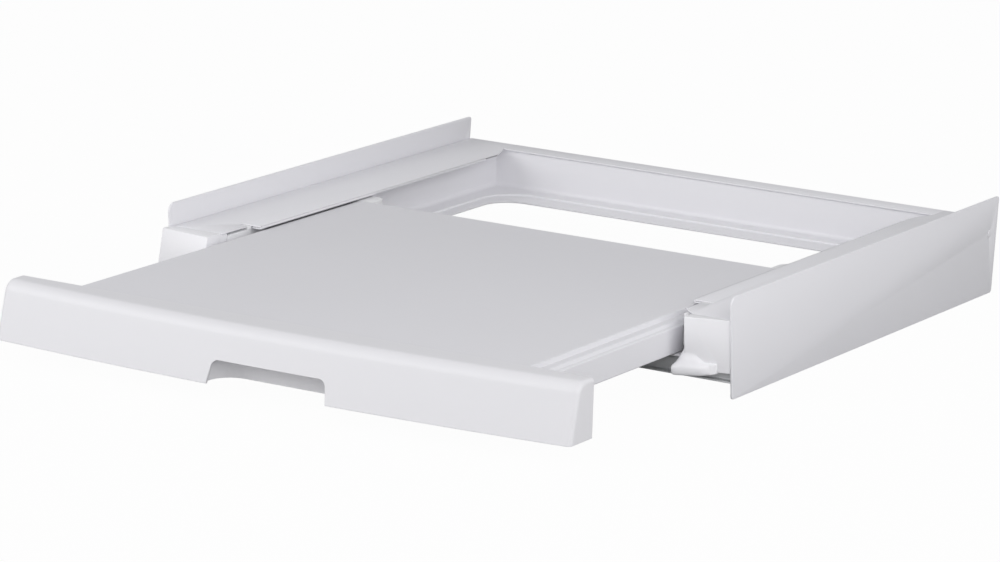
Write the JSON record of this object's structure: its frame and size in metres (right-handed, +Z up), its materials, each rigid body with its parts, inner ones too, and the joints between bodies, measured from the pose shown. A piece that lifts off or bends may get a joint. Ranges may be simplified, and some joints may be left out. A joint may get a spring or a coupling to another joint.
{
  "type": "washer dryer stacking kit",
  "caption": "Folded sheet stacking frame that seats a tumble dryer on a washing machine, with deep side skirts and a pull-out laundry shelf behind a bowed front panel.",
  "frame": {"origin": "under the middle of the whole box, on the plane of the skirts' lower edges, with the shelf in its pictured pulled-out place", "axes": "+X to the right of a person facing the front panel, +Y from the front panel to the rear, +Z up"},
  "size_m": [0.6016, 0.8185, 0.094],
  "materials": {
    "white_powder_coat": "smooth satin powder coat on folded sheet steel",
    "white_shelf_coat": "smooth satin powder coat, slightly cooler white",
    "white_moulding": "fine satin moulded plastic",
    "white_nylon": "matte nylon sliding pieces",
    "galvanised_steel": "zinc-coated folded sheet",
    "zinc_fasteners": "bright zinc-plated screws and rivets",
    "grey_rubber": "matte rubber pads"
  },
  "bodies": {
    "frame": {"left_skirt": "white_powder_coat", "right_skirt": "white_powder_coat", "left_deck": "white_powder_coat", "right_deck": "white_powder_coat", "rear_rail": "white_powder_coat", "base_pan": "white_powder_coat", "front_brace": "galvanised_steel", "left_end_cap": "white_moulding", "right_end_cap": "white_moulding", "left_guide": "white_nylon", "right_guide": "white_nylon", "left_stop": "white_nylon", "right_stop": "white_nylon", "frame_pads": "grey_rubber", "skirt_rivets": "zinc_fasteners", "brace_screws": "zinc_fasteners", "guide_screws": "zinc_fasteners"},
    "shelf": {"shelf_tray": "white_shelf_coat", "front_stiffener": "galvanised_steel", "rear_stiffener": "galvanised_steel", "front_panel": "white_moulding", "finger_cup": "white_moulding", "left_glide": "white_nylon", "right_glide": "white_nylon", "panel_screws": "zinc_fasteners", "glide_screws": "zinc_fasteners"}
  },
  "joints": [
    {"name": "shelf_slide", "type": "slide", "parent": "frame", "child": "shelf", "axis": [0, -1, 0], "range_m": [-0.2125, 0]}
  ]
}
